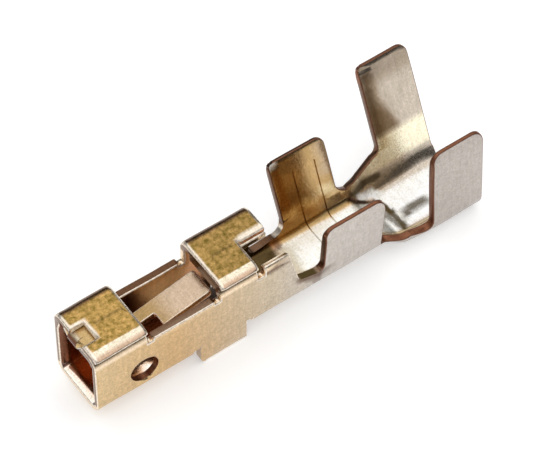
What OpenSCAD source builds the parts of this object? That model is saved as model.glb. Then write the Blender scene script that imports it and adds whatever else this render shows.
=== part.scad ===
// Box-type crimp contact, folded in one piece from thin plated strip.
// +X runs from the mating end to the wire end, +Z is up, and the lap seam is on the -Y side.
// The origin is where the axis of the mating pin meets the mating face.

/* [Sheet] */
// Thickness of the strip
sheet_t = 0.2; // [0.16:0.01:0.22]
// Gap between the two lapped roof layers
lap_gap = 0.02; // [0.01:0.005:0.04]

/* [Box] */
// Outside width of the box
box_w = 1.69; // [1.6:0.01:1.9]
// Outside height of the box
box_h = 2.29; // [2.2:0.01:2.6]
// Outside radius of the two floor bends
floor_r = 0.28; // [0.25:0.01:0.36]
// Outside radius of the roof bend over the left wall
roof_r = 0.4; // [0.3:0.01:0.45]
// Outside radius of the bend over the right wall, under the lap
seam_r = 0.3; // [0.25:0.01:0.36]
// How far the lap wraps down over the right bend, in degrees
lap_wrap = 48; // [30:1:65]
// How far the ends of the lap stand back from the ends of the roof
lap_setback = 0.07; // [0.03:0.01:0.12]
// Length of the front box
front_len = 1.46; // [1.3:0.01:1.7]
// Length of the rear box over its full width
rear_len = 1.06; // [0.9:0.01:1.2]
// Length of the half roof that goes on behind the rear box
half_roof_len = 0.76; // [0.6:0.01:0.85]
// How far the inner roof layer shows past the cut edge of the outer one
layer_step = 0.05; // [0.03:0.01:0.08]
// Lead-in chamfer round the mouth
mouth_chamfer = 0.06; // [0.03:0.01:0.08]
// Length of the notch in the front edge of the outer roof
roof_notch_len = 0.4; // [0.3:0.01:0.5]
// Width of the notch in the front edge of the outer roof
roof_notch_w = 0.54; // [0.46:0.01:0.62]
// Sideways place of that notch's middle
roof_notch_y = -0.08; // [-0.12:0.01:0]

/* [Window] */
// Length of the locking window between the two boxes
window_len = 2.04; // [1.9:0.01:2.2]
// Height of the right wall beside the window
right_sill = 1.78; // [1.72:0.01:1.8]
// Height of the left wall beside the window
left_sill = 1.6; // [1.55:0.01:1.75]
// Width of the relief slots at the ends of each bend
slot_w = 0.16; // [0.12:0.01:0.2]
// Depth of the relief slots below the sills
slot_deep = 0.1; // [0.06:0.01:0.14]

/* [Peephole] */
// Diameter of the round hole in the right wall
hole_d = 0.76; // [0.6:0.01:0.82]
// Distance of the hole from the mating face
hole_x = 1.36; // [1.2:0.01:1.5]
// Height of the hole above the underside of the floor
hole_z = 0.7; // [0.66:0.01:0.8]

/* [Keying tabs] */
// Distance of the tabs from the mating face
tab_x = 2.9; // [2.75:0.01:3]
// Length of the tabs
tab_len = 1.33; // [1.2:0.01:1.45]
// How far the tabs reach below the floor
tab_drop = 0.34; // [0.25:0.01:0.45]
// Radius of the tabs' lower front corners
tab_r = 0.16; // [0.1:0.01:0.2]

/* [Contact spring] */
// Outside radius of the fold at the mouth
fold_r = 0.22; // [0.21:0.01:0.24]
// Angle of the spring's dive behind the fold, in degrees
dive_angle = 60; // [54:1:62]
// Straight length of the dive
dive_len = 0.89; // [0.8:0.01:0.92]
// Outside radius of the bend that touches the pin
touch_r = 0.34; // [0.26:0.01:0.4]
// Angle at which the spring rises just behind that bend, in degrees
climb_angle = 22; // [18:1:24]
// Straight length of that climb
climb_len = 0.6; // [0.5:0.01:0.62]
// Angle at which the rest of the spring rises, in degrees
rise_angle = 11.5; // [9:0.5:13]
// Straight length of the rise
rise_len = 2.06; // [1.9:0.01:2.1]
// Outside radius of the bend between the climb and the rise
ease_r = 0.6; // [0.4:0.05:0.8]
// Width of the spring's arm
arm_w = 0.34; // [0.28:0.01:0.4]
// Sideways place of the arm's middle
arm_y = 0.13; // [0.08:0.01:0.15]
// Width of the wide blade at the free end
blade_w = 0.74; // [0.64:0.01:0.78]
// Length of the blade
blade_len = 1.34; // [1.1:0.01:1.5]
// Radius of the inside corner between the arm and the blade
blade_root_r = 0.05; // [0.03:0.01:0.1]
// Corner radius of the blade
blade_r = 0.09; // [0.06:0.01:0.12]

/* [Conductor barrel] */
// Outside width between the roots of the conductor wings
conductor_w = 1.84; // [1.76:0.01:2]
// Outside radius of the conductor barrel's bends
conductor_r = 0.45; // [0.4:0.01:0.55]
// Distance of the conductor barrel from the mating face
conductor_x = 6.38; // [6.3:0.01:6.5]
// Length of the conductor wings
conductor_len = 1.72; // [1.6:0.01:1.85]
// Straight height of the left conductor wing along the sheet
conductor_left_wing = 1.96; // [1.7:0.01:2.05]
// Straight height of the right conductor wing along the sheet
conductor_right_wing = 1.79; // [1.6:0.01:2]
// How far the left conductor wing stands in from both ends of the right one
conductor_setback = 0.06; // [0.03:0.01:0.1]
// Corner radius of the conductor wings
conductor_corner = 0.26; // [0.15:0.01:0.3]
// Outward lean of the left conductor wing, in degrees
conductor_left = 22; // [14:1:28]
// Outward lean of the right conductor wing, in degrees
conductor_right = 4; // [1:1:12]
// Number of grip grooves
groove_count = 2; // [1:1:3]
// Width of each grip groove
groove_w = 0.24; // [0.18:0.01:0.28]
// Spacing of the grip grooves
groove_pitch = 0.63; // [0.5:0.01:0.65]
// Depth of each grip groove
groove_deep = 0.035; // [0.02:0.005:0.05]
// How far below the shorter wing's tip the grip grooves end
groove_stop = 0.4; // [0.3:0.01:0.6]

/* [Insulation barrel] */
// Outside width between the roots of the insulation wings
insulation_w = 2.15; // [2.05:0.01:2.3]
// Outside radius of the insulation barrel's bends
insulation_r = 0.5; // [0.45:0.01:0.6]
// How far the insulation barrel's floor lies below the box floor
insulation_drop = 0.38; // [0.3:0.01:0.45]
// Sideways shift of the insulation barrel's middle
insulation_shift = 0.015; // [0:0.005:0.08]
// Distance of the insulation barrel from the mating face
insulation_x = 9.55; // [9.45:0.01:9.65]
// Length of the insulation wings
insulation_len = 1.47; // [1.35:0.01:1.65]
// Straight height of the left insulation wing along the sheet
insulation_left_wing = 3.14; // [2.7:0.01:3.2]
// Straight height of the right insulation wing along the sheet
insulation_right_wing = 2.42; // [2.3:0.01:2.8]
// How far the left insulation wing stands back from the rear end
left_setback = 0.03; // [0.02:0.01:0.1]
// Corner radius of the insulation wings
insulation_corner = 0.28; // [0.2:0.01:0.4]
// Outward lean of the left insulation wing, in degrees
insulation_left = 24; // [14:1:28]
// Outward lean of the right insulation wing, in degrees
insulation_right = -3; // [-5:1:6]

/* [Necks] */
// Height of the right wall behind the rear box, above the floor's underside
shoulder_h = 2.1; // [2:0.01:2.2]
// Width of the relief slot ahead of that wall
shoulder_slot = 0.2; // [0.16:0.01:0.22]
// Length of that wall, behind its relief slot
shoulder_len = 0.68; // [0.6:0.01:0.74]
// Length of the slope from that wall down to the front neck
shoulder_slope = 0.3; // [0.24:0.01:0.4]
// Height of the sheet's edge in the front neck, right side
front_neck_right = 0.72; // [0.6:0.01:0.85]
// Height of the sheet's edge in the front neck, left side
front_neck_left = 0.34; // [0.3:0.01:0.5]
// Height of the sheet's edge in the rear neck, right side
rear_neck_right = 0.22; // [0.16:0.01:0.3]
// Height of the sheet's edge in the rear neck, left side
rear_neck_left = 0.42; // [0.36:0.01:0.5]
// How far behind the conductor barrel the rear neck starts to drop
drop_start = 0.1; // [0.05:0.01:0.2]
// Length over which the rear neck drops
drop_len = 0.7; // [0.6:0.01:0.9]
// Radius of the inside corners at the roots of the wings
root_r = 0.2; // [0.12:0.01:0.24]

/* [Wing tips] */
// Thickness of the wings' tips, which are thinned on the inside
tip_t = 0.1; // [0.08:0.01:0.14]
// Length over which the tips are thinned
tip_len = 0.32; // [0.2:0.01:0.4]
// Corner radius at the front of the two left wings
tip_corner = 0.1; // [0.06:0.01:0.2]

/* [Hidden] */
$fn = 64;

// Facets in each bend of the lofted necks
bend_steps = 6;
// Sections in each lofted neck
neck_steps = 10;
// A length that clears the part in any direction
clear = 6;
// How far a loft reaches into its neighbours, and how much thinner it starts there
loft_lap = 0.12;
loft_inset = 0.01;
// Spare length at the ends of the barrels, which the wings' outlines cut off
wing_spare = 0.04;
// How far slanted runs are set in where they join their bends
run_skin = 0.003;
// Room on each side of the spring's root in the inner roof
root_relief = 0.04;

wall_y = box_w / 2;
inner_y = wall_y - sheet_t;
// Top faces of the outer and inner roof layers, and the middle of their shared right bend
inner_roof = box_h - sheet_t - lap_gap;
lap_r = seam_r + lap_gap + sheet_t;
seam_y = -(wall_y - seam_r);
seam_z = inner_roof - seam_r;
roof_run = box_w - roof_r - seam_r;

rear_x = front_len + window_len;
rear_end = rear_x + rear_len;
half_end = rear_end + half_roof_len;
shoulder_x = rear_end + shoulder_slot;
shoulder_end = shoulder_x + shoulder_len;
slope_end = shoulder_end + shoulder_slope;
tube_end = shoulder_end + shoulder_slope / 4;
conductor_end = conductor_x + conductor_len;
insulation_end = insulation_x + insulation_len;
tab_end = tab_x + tab_len;

// The spring's fold starts one fold radius behind the mating face
fold_x = fold_r;
fold_mid_z = inner_roof - sheet_t / 2;
fold_turn = 180 - dive_angle;
// The pin's axis lies midway between the floor and the spring's touching bend
touch_z = fold_mid_z - (fold_r - sheet_t / 2) * (1 + cos(dive_angle)) - dive_len * sin(dive_angle)
    - (touch_r - sheet_t / 2) * (1 - cos(dive_angle)) - sheet_t / 2;
pin_z = (sheet_t + touch_z) / 2;

// A trough's shape: half width, bend radius, floor height, sideways shift, left lean, right lean
tube_shape = [wall_y, floor_r, 0, 0, 0, 0];
conductor_shape = [conductor_w / 2, conductor_r, 0, 0, conductor_left, conductor_right];
insulation_shape = [insulation_w / 2, insulation_r, -insulation_drop, insulation_shift,
    insulation_left, insulation_right];

// Height of a wing's top, from its trough, its straight height and its lean
function wing_top(shape, wing, lean) =
    shape[2] + shape[1] - (shape[1] - sheet_t) * sin(lean) + wing * cos(lean);

// Eased step from 0 to 1
function ease(u) = u * u * (3 - 2 * u);

// Shape part of the way along a neck: the floor drops over a stretch of its own, and the rest eases all the way
function neck_shape(shape0, shape1, u, length) =
    let (mixed = shape0 + ease(u) * (shape1 - shape0),
        fall = ease(min(max((u * length - drop_start) / drop_len, 0), 1)))
    [for (k = [0:5]) k == 2 ? shape0[k] + fall * (shape1[k] - shape0[k]) : mixed[k]];

// Points along one face of a trough, from the right wing over the floor to the left wing.
// The depth is how far that face lies inside the outside of the sheet.
function trough_face(shape, wall, depth) =
    let (flat = shape[0] - shape[1], r = shape[1] - depth, mid_z = shape[2] + shape[1],
        y = shape[3], left = shape[4], right = shape[5])
    concat(
        [[y - flat - r * cos(right) - wall * sin(right), mid_z - r * sin(right) + wall * cos(right)]],
        [for (k = [bend_steps:-1:0]) let (turn = (90 - right) * k / bend_steps)
            [y - flat - r * sin(turn), mid_z - r * cos(turn)]],
        [for (k = [0:bend_steps]) let (turn = (90 - left) * k / bend_steps)
            [y + flat + r * sin(turn), mid_z - r * cos(turn)]],
        [[y + flat + r * cos(left) + wall * sin(left), mid_z - r * sin(left) + wall * cos(left)]]);

// Outline of a trough's section between two depths in the sheet
function trough_outline(shape, wall, outer, inner) =
    let (back = trough_face(shape, wall, inner))
    concat(trough_face(shape, wall, outer), [for (k = [len(back) - 1:-1:0]) back[k]]);

// Solid from one section to the next along X
module loft(places, outlines) {
    n = len(outlines[0]);
    last = len(outlines) - 1;
    points = [for (s = [0:last]) for (p = outlines[s]) [places[s], p[0], p[1]]];
    sides = [for (s = [0:last - 1]) for (k = [0:n - 1])
        let (a = s * n + k, b = s * n + (k + 1) % n)
        each [[a, b + n, b], [a, a + n, b + n]]];
    ends = [for (k = [0:n / 2 - 2])
        let (a = k, b = k + 1, c = n - 2 - k, d = n - 1 - k, e = last * n)
        each [[a, b, c], [a, c, d], [e + a, e + c, e + b], [e + a, e + d, e + c]]];
    polyhedron(points, concat(sides, ends), convexity = 8);
}

// Neck that turns one trough into the next, a little thinner where it enters its neighbours
module neck(x0, shape0, x1, shape1, wall) {
    inside = [for (k = [0:neck_steps]) k / neck_steps];
    places = concat([x0 - loft_lap], [for (u = inside) x0 + u * (x1 - x0)], [x1 + loft_lap]);
    outlines = concat(
        [trough_outline(shape0, wall, loft_inset, sheet_t - loft_inset)],
        [for (u = inside) let (thin = u == 0 || u == 1 ? loft_inset : 0)
            trough_outline(neck_shape(shape0, shape1, u, x1 - x0), wall, thin, sheet_t - thin)],
        [trough_outline(shape1, wall, loft_inset, sheet_t - loft_inset)]);
    loft(places, outlines);
}

// Lays a profile drawn across the contact from x0 to x1
module along(x0, x1) {
    translate([x0, 0, 0]) rotate([90, 0, 90]) linear_extrude(x1 - x0) children();
}

// Lays a profile drawn from the side from y0 to y1
module across(y0, y1) {
    translate([0, y1, 0]) rotate([90, 0, 0]) linear_extrude(y1 - y0) children();
}

// One bend of the strip, turning left from a straight run along +x
module bend(turn, outer_r) {
    reach = 2 * outer_r;
    translate([0, outer_r - sheet_t / 2]) intersection() {
        difference() {
            circle(outer_r);
            circle(outer_r - sheet_t);
        }
        polygon([[0, 0], [0, -reach], 1.5 * reach * [sin(turn / 3), -cos(turn / 3)],
            1.5 * reach * [sin(turn * 2 / 3), -cos(turn * 2 / 3)], reach * [sin(turn), -cos(turn)]]);
    }
}

// Edge view of a folded strip: each step is a straight run, the turn after it and that bend's outside radius.
// A run set in by skin reaches into the bends beside it, so that slanted runs join their bends soundly.
module folded(steps, skin = 0, i = 0) {
    run = steps[i][0];
    turn = steps[i][1];
    side = turn < 0 ? -1 : 1;
    mid = steps[i][2] - sheet_t / 2;
    before = i > 0 ? 3 * skin : 0;
    after = turn != 0 ? 3 * skin : 0;
    if (run > 0) translate([-before, skin - sheet_t / 2]) square([run + before + after, sheet_t - 2 * skin]);
    if (turn != 0) translate([run, 0]) {
        if (turn > 0) bend(turn, steps[i][2]);
        if (turn < 0) mirror([0, 1]) bend(-turn, steps[i][2]);
        if (i + 1 < len(steps))
            translate([mid * sin(abs(turn)), side * mid * (1 - cos(turn))]) rotate(turn)
                folded(steps, skin, i + 1);
    }
}

// Section of the box: inner roof, right wall, floor, left wall and outer roof
module box_profile() {
    translate([wall_y - roof_r, inner_roof - sheet_t / 2]) rotate(180) folded([
        [roof_run, 90, seam_r],
        [inner_roof - seam_r - floor_r, 90, floor_r],
        [box_w - 2 * floor_r, 90, floor_r],
        [box_h - floor_r - roof_r, 90, roof_r],
        [roof_run, 0, roof_r]]);
}

// Section of the lap, the outer roof's edge wrapped down over the right bend
module lap_profile() {
    translate([seam_y, box_h - sheet_t / 2]) rotate(180) bend(lap_wrap, lap_r);
}

// Section of a crimp barrel, from its right wing's tip to its left wing's tip
module trough_profile(shape, right_wing, left_wing) {
    flat = shape[0] - shape[1];
    mid = shape[1] - sheet_t / 2;
    left = shape[4];
    right = shape[5];
    right_tip = [shape[3] - flat - mid * cos(right) - right_wing * sin(right),
        shape[2] + shape[1] - mid * sin(right) + right_wing * cos(right)];
    left_tip = [shape[3] + flat + mid * cos(left) + left_wing * sin(left),
        shape[2] + shape[1] - mid * sin(left) + left_wing * cos(left)];
    difference() {
        translate(right_tip) rotate(270 + right) folded([
            [right_wing, 90 - right, shape[1]],
            [2 * flat, 90 - left, shape[1]],
            [left_wing, 0, shape[1]]], run_skin);
        translate(right_tip) rotate(270 + right) tip_wedge();
        translate(left_tip) rotate(270 - left) mirror([0, 1]) tip_wedge();
    }
}

// What is thinned away on the inside of a wing's tip, drawn from the tip down the wing
module tip_wedge() {
    slope = (sheet_t - tip_t) / tip_len;
    face = sheet_t / 2;
    polygon([[-tip_len, tip_t - face - slope * tip_len], [2 * tip_len, face + slope * tip_len], [-tip_len, 2 * sheet_t]]);
}

// Upright rectangle with rounded top corners, for the outline of a wing
module wing_outline(x0, x1, z0, z1, front, rear) {
    half = (x1 - x0) / 2;
    translate([x0 + front, z0]) square([2 * half - front - rear, z1 - z0]);
    translate([x0, z0]) square([half, z1 - z0 - front]);
    translate([x0 + half, z0]) square([half, z1 - z0 - rear]);
    translate([x0 + front, z1 - front]) circle(front);
    translate([x1 - rear, z1 - rear]) circle(rear);
}

// Fill for an inside corner: dir is 1 where the wall is on its +x side, -1 where it is on its -x side
module root_fillet(x, z, dir) {
    difference() {
        translate([dir > 0 ? x - root_r : x, z]) square(root_r);
        translate([x - dir * root_r, z + root_r]) circle(root_r);
    }
}

// What stays of the right side, seen from the side
module right_outline() {
    base = -clear;
    top = wing_top(conductor_shape, conductor_right_wing, conductor_right);
    end_top = wing_top(insulation_shape, insulation_right_wing, insulation_right);
    neck_end = rear_neck_right - insulation_drop / 2;
    polygon([[-clear, base], [-clear, clear], [shoulder_end, clear], [shoulder_end, shoulder_h],
        [slope_end, front_neck_right], [conductor_x, front_neck_right], [conductor_end, rear_neck_right],
        [conductor_end + root_r, rear_neck_right], [insulation_x - root_r, neck_end],
        [insulation_end, neck_end], [insulation_end, base]]);
    wing_outline(conductor_x, conductor_end, base, top, conductor_corner, conductor_corner);
    wing_outline(insulation_x, insulation_end, base, end_top, insulation_corner, insulation_corner);
    root_fillet(conductor_x, front_neck_right, 1);
    root_fillet(conductor_end, rear_neck_right, -1);
    root_fillet(insulation_x, neck_end, 1);
}

// What stays of the left side, seen from the side
module left_outline() {
    base = -clear;
    top = wing_top(conductor_shape, conductor_left_wing, conductor_left);
    end_top = wing_top(insulation_shape, insulation_left_wing, insulation_left);
    neck_end = rear_neck_left + insulation_drop * 0.4;
    neck_mid = (conductor_end + insulation_x) / 2;
    left_x = conductor_x + conductor_setback;
    left_end = conductor_end - conductor_setback;
    polygon([[-clear, base], [-clear, clear], [half_end, clear], [half_end, front_neck_left],
        [left_x, front_neck_left], [left_end, rear_neck_left], [neck_mid, rear_neck_left],
        [insulation_x - root_r, neck_end], [insulation_x, neck_end], [insulation_end, 0],
        [insulation_end, base]]);
    wing_outline(left_x, left_end, base, top, tip_corner, conductor_corner);
    wing_outline(insulation_x, insulation_end - left_setback, base, end_top, tip_corner, insulation_corner);
    root_fillet(half_end, front_neck_left, -1);
    root_fillet(left_x, front_neck_left, 1);
    root_fillet(left_end, rear_neck_left, -1);
    root_fillet(insulation_x, neck_end, 1);
}

// Box, necks and barrels as bent, before the blank's cut-outs
module bent_sheet() {
    along(0, tube_end) box_profile();
    along(lap_setback, front_len - lap_setback) lap_profile();
    along(rear_x + lap_setback, rear_end - lap_setback) lap_profile();
    neck(tube_end, tube_shape, conductor_x, conductor_shape, shoulder_h - floor_r);
    along(conductor_x - wing_spare, conductor_end + wing_spare)
        trough_profile(conductor_shape, conductor_right_wing, conductor_left_wing);
    neck(conductor_end, conductor_shape, insulation_x, insulation_shape, insulation_drop + 6 * root_r);
    along(insulation_x - wing_spare, insulation_end + wing_spare)
        trough_profile(insulation_shape, insulation_right_wing, insulation_left_wing);
}

// Locking window and the relief slots at its ends
module window_cut() {
    for (side = [[-clear, 0, right_sill], [0, clear, left_sill]]) across(side[0], side[1]) {
        translate([front_len, side[2]]) square([window_len, clear]);
        for (x = [front_len, rear_x - slot_w]) translate([x, side[2] - slot_deep]) square([slot_w, clear]);
    }
}

// Room behind the rear box: half of the roof and the slot beside the shoulder are cut away
module rear_cut() {
    outer_z = inner_roof + lap_gap / 2;
    inner_z = inner_roof - sheet_t - lap_gap;
    lip_y = seam_y - seam_r / 2;
    behind = slope_end - rear_end;
    translate([rear_end, -clear, outer_z]) cube([behind, clear, clear]);
    translate([rear_end + layer_step, lip_y, inner_z]) cube([behind, -lip_y - layer_step, clear]);
    translate([half_end, lip_y, inner_z]) cube([behind, -lip_y, clear]);
    across(-clear, lip_y + sheet_t) translate([rear_end, right_sill - slot_deep]) square([shoulder_slot, clear]);
}

// Notch in the front edge of the outer roof, over the spring's fold
module roof_notch() {
    translate([-clear, roof_notch_y - roof_notch_w / 2, inner_roof + lap_gap / 2])
        cube([clear + roof_notch_len, roof_notch_w, clear]);
}

// Gap in the inner roof where the spring is folded back
module fold_gap() {
    translate([-clear, arm_y - arm_w / 2 - root_relief, inner_roof - sheet_t - lap_gap / 2])
        cube([clear + fold_x, arm_w + 2 * root_relief, sheet_t + lap_gap]);
}

// Lead-in on the floor and the two walls of the mouth
module mouth_cut() {
    over = mouth_chamfer / 4;
    across(-inner_y, inner_y) polygon([[-over, sheet_t - mouth_chamfer - over],
        [mouth_chamfer + over, sheet_t + over], [-over, sheet_t + over]]);
    for (side = [-1, 1]) translate([0, 0, floor_r]) linear_extrude(seam_z - floor_r)
        polygon([[-over, side * (inner_y + mouth_chamfer + over)],
            [mouth_chamfer + over, side * (inner_y - over)], [-over, side * (inner_y - over)]]);
}

// The two tabs are lanced from the floor, which leaves the floor open between them
module floor_cut() {
    across(-clear, clear) {
        translate([tab_x - slot_w, -clear]) square([slot_w, clear + floor_r]);
        translate([tab_end, -clear]) square([slot_w, clear + floor_r]);
    }
    translate([tab_x, -clear, -clear]) cube([tab_len, 2 * clear, clear + floor_r]);
}

// The tabs themselves, straight on down from both walls
module tabs() {
    for (y = [-wall_y, inner_y]) across(y, y + sheet_t) {
        translate([tab_x + tab_r, -tab_drop]) square([tab_len - tab_r, floor_r + tab_drop]);
        translate([tab_x, tab_r - tab_drop]) square([tab_len, floor_r + tab_drop - tab_r]);
        translate([tab_x + tab_r, tab_r - tab_drop]) circle(tab_r);
    }
}

// Grip grooves across the inside of the conductor barrel
module grooves() {
    first = conductor_x + (conductor_len - (groove_count - 1) * groove_pitch) / 2;
    wall = min(conductor_left_wing, conductor_right_wing) - groove_stop;
    for (k = [0:groove_count - 1]) {
        middle = first + k * groove_pitch;
        along(middle - groove_w / 2, middle + groove_w / 2)
            polygon(trough_outline(conductor_shape, wall, sheet_t - groove_deep, conductor_r - groove_deep));
    }
}

// Plan of the spring: a narrow arm and a wide blade with rounded corners
module spring_plan() {
    tip = fold_x + (fold_r - sheet_t / 2) * sin(dive_angle) + dive_len * cos(dive_angle)
        + (touch_r - sheet_t / 2) * (sin(dive_angle) + sin(climb_angle)) + climb_len * cos(climb_angle)
        + (ease_r - sheet_t / 2) * (sin(climb_angle) - sin(rise_angle)) + rise_len * cos(rise_angle)
        - sheet_t / 2 * sin(rise_angle);
    left = arm_y + arm_w / 2;
    translate([-clear, left - arm_w]) square([clear + tip - blade_r, arm_w]);
    translate([tip - blade_len, left - blade_w + blade_r]) square([blade_len, blade_w - 2 * blade_r]);
    translate([tip - blade_len, left - blade_w]) square([blade_len - blade_r, blade_w]);
    for (y = [left - blade_w + blade_r, left - blade_r]) translate([tip - blade_r, y]) circle(blade_r);
    difference() {
        translate([tip - blade_len - blade_root_r, left - arm_w - blade_root_r]) square(blade_root_r);
        translate([tip - blade_len - blade_root_r, left - arm_w - blade_root_r]) circle(blade_root_r);
    }
}

// Spring folded back from the inner roof: it dives to the pin, then rises to its free end
module spring() {
    left = arm_y + arm_w / 2;
    intersection() {
        across(left - blade_w, left) translate([fold_x, fold_mid_z]) rotate(180) folded([
            [0, fold_turn, fold_r],
            [dive_len, dive_angle + climb_angle, touch_r],
            [climb_len, rise_angle - climb_angle, ease_r],
            [rise_len, 0, ease_r]], run_skin);
        translate([0, 0, -clear]) linear_extrude(2 * clear) spring_plan();
    }
}

// The whole contact: one folded strip
module crimp_contact() {
    color("goldenrod") translate([0, 0, -pin_z]) {
        difference() {
            intersection() {
                bent_sheet();
                union() {
                    across(-clear, 0) right_outline();
                    across(0, clear) left_outline();
                }
            }
            window_cut();
            rear_cut();
            roof_notch();
            fold_gap();
            mouth_cut();
            floor_cut();
            grooves();
            translate([hole_x, 0, hole_z]) rotate([90, 0, 0]) cylinder(d = hole_d, h = clear);
        }
        tabs();
        spring();
    }
}

crimp_contact();
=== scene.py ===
import math

import bmesh
import bpy
import numpy as np
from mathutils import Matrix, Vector
from mathutils.geometry import delaunay_2d_cdt


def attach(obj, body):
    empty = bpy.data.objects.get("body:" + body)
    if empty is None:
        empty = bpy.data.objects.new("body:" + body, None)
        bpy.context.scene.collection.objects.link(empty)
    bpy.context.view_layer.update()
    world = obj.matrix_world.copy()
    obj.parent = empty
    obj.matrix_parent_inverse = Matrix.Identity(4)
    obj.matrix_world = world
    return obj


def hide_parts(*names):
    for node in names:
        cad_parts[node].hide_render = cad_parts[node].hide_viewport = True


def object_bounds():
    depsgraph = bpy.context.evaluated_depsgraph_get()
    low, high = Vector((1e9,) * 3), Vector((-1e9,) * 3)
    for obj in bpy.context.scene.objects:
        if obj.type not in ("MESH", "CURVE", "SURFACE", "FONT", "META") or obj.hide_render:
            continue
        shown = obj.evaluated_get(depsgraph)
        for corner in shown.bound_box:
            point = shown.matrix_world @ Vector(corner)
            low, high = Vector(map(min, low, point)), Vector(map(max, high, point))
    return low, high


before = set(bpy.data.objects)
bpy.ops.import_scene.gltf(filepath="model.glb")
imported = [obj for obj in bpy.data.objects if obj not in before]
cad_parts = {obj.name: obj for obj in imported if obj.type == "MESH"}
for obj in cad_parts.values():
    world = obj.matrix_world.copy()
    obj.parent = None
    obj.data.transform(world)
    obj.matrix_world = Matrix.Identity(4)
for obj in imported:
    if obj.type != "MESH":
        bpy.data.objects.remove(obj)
cad_box = [list(corner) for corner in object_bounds()]

# Contact body: one piece of plated bronze strip, blanked flat and then folded up, and made that way here.
# The blank is drawn in x along the contact and s across it, in mm along the sheet from the floor's middle.
# Left is positive s. Folding gives the lapped box, its spring, the necks and the two crimp barrels.
MM = 0.001
pin_height = 0.4996
sheet = 0.20
box_width = 1.69
box_height = 2.29
floor_bend = 0.28
roof_bend = 0.30
seam_bend = 0.30
lap_gap = 0.02
front_end = 1.46
rear_start = 3.50
rear_end = 4.56
half_roof_end = 5.32
shoulder_start = 4.76
shoulder_end = 5.44
slope_end = 5.74
tube_end = 5.515
conductor_start = 6.38
conductor_end = 8.10
conductor_setback = 0.06
barrel_start = 9.55
barrel_end = 11.02
drop_start = conductor_end + 0.10
drop_length = 0.70

# Sections of the open trough: half width, bend radius, floor height, sideways shift, left lean, right lean
conductor_leans = (math.radians(22), math.radians(4))
barrel_leans = (math.radians(24), math.radians(-3))
tube_section = np.array([box_width / 2, floor_bend, 0.0, 0.0, 0.0, 0.0])
conductor_section = np.array([0.92, 0.45, 0.0, 0.0, *conductor_leans])
barrel_section = np.array([1.075, 0.50, -0.38, 0.015, *barrel_leans])
floor_column = 2


def eased(start, end, value):
    """Goes smoothly from 0 at the start to 1 at the end."""
    share = np.clip((value - start) / (end - start), 0, 1)
    return share * share * (3 - 2 * share)


def trough_at(x):
    """The trough's section at each place along the contact, eased through the two necks."""
    x = np.asarray(x, float)
    first = eased(tube_end, conductor_start, x)[:, None]
    second = eased(conductor_end, barrel_start, x)[:, None]
    section = tube_section + first * (conductor_section - tube_section)
    section = section + second * (barrel_section - conductor_section)
    section[:, floor_column] = barrel_section[floor_column] * eased(drop_start, drop_start + drop_length, x)
    return section


# Lengths along the sheet at which the box's bends start and end
quarter = math.pi / 2
middle = sheet / 2
inner_roof = box_height - sheet - lap_gap
right_wall = inner_roof - seam_bend - floor_bend
left_wall = box_height - floor_bend - roof_bend
roof_reach = 0.13
roof_width = box_width - roof_bend - seam_bend + roof_reach
inner_roof_width = 0.99
wall_start = box_width / 2 - floor_bend + (floor_bend - middle) * quarter
seam_start = wall_start + right_wall
inner_roof_start = seam_start + (seam_bend - middle) * quarter
inner_roof_end = inner_roof_start + inner_roof_width
left_bend_start = wall_start + left_wall
outer_roof_start = left_bend_start + (roof_bend - middle) * quarter
lap_start = outer_roof_start + roof_width


def curved(radius, degrees):
    """Length of a bend along the sheet's middle, and how far it turns."""
    return radius * math.radians(abs(degrees)), math.radians(degrees)


# The lap over the seam and the spring behind its fold: length of each run or bend and how far it turns
lap_turn = math.radians(24)
lap_path = [(0.05, lap_turn), (0.09, 0.0), (0.06, lap_turn)]
lap_end = lap_start + sum(length for length, _ in lap_path)
fold_start = 0.22
spring_path = [curved(0.12, 120), (0.89, 0.0), curved(0.24, 82), (0.60, 0.0)]
spring_path += [curved(0.50, -10.5), (2.06, 0.0)]
spring_tip = fold_start - sum(length for length, _ in spring_path)
arm_inset = 0.845
arm_width = 0.34
blade_width = 0.74
blade_length = 1.367
arm_left = -inner_roof_start - arm_inset
arm_right = arm_left + arm_width
blade_right = arm_left + blade_width
blade_front = spring_tip + blade_length
tab_start = 2.90
tab_end = 4.23
tab_drop = 0.34


def walk(distance, path):
    """Follows runs and bends for a distance and gives the way out, the rise and the heading there."""
    left = distance.copy()
    out = np.zeros_like(left)
    rise = np.zeros_like(left)
    heading = np.zeros_like(left)
    for length, turn in path:
        length = np.broadcast_to(length, left.shape)
        part = np.clip(left, 0, length)
        left = left - part
        turned = turn * np.divide(part, length, out=np.zeros_like(part), where=length > 0)
        chord = part * np.sinc(turned / 2 / math.pi)
        out = out + chord * np.cos(heading + turned / 2)
        rise = rise + chord * np.sin(heading + turned / 2)
        heading = heading + turned
    return out, rise, heading


# Each foot bends in two parts, and the upper part of the left barrel wing's is longer by a curl
lower_share = 0.7
wing_curl = 0.28


def foot(x, side):
    """The floor's half and the bend beside it, as runs and bends. The left barrel wing goes on curling above
    its bend, and the floor gives way by as much as that takes, so that the wing itself stays where it was."""
    half, bend, _, _, left_lean, right_lean = trough_at(x).T
    turn = quarter - (left_lean if side > 0 else right_lean)
    radius = bend - middle
    first = lower_share * turn
    second = turn - first
    curl = wing_curl * eased(conductor_end, barrel_start, x) if side > 0 else 0.0
    first_tangent = radius * np.tan(first / 2)
    second_tangent = (radius + curl / second) * np.tan(second / 2)
    corner = first_tangent + (first_tangent + second_tangent) * np.sin(second) / np.sin(turn)
    run = half - bend + radius * np.tan(turn / 2) - corner
    return [(run, 0.0), (radius * first, first), (radius * second + curl, second)]


# Behind the roofs the walls go straight on up, with no bend at the top
past_roofs = half_roof_end + 0.2
endless = 10.0

# The arm's slits count as part of the spring, and points this close to a line count as on it
beside_arm = 0.02
touching = 1e-4


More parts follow.
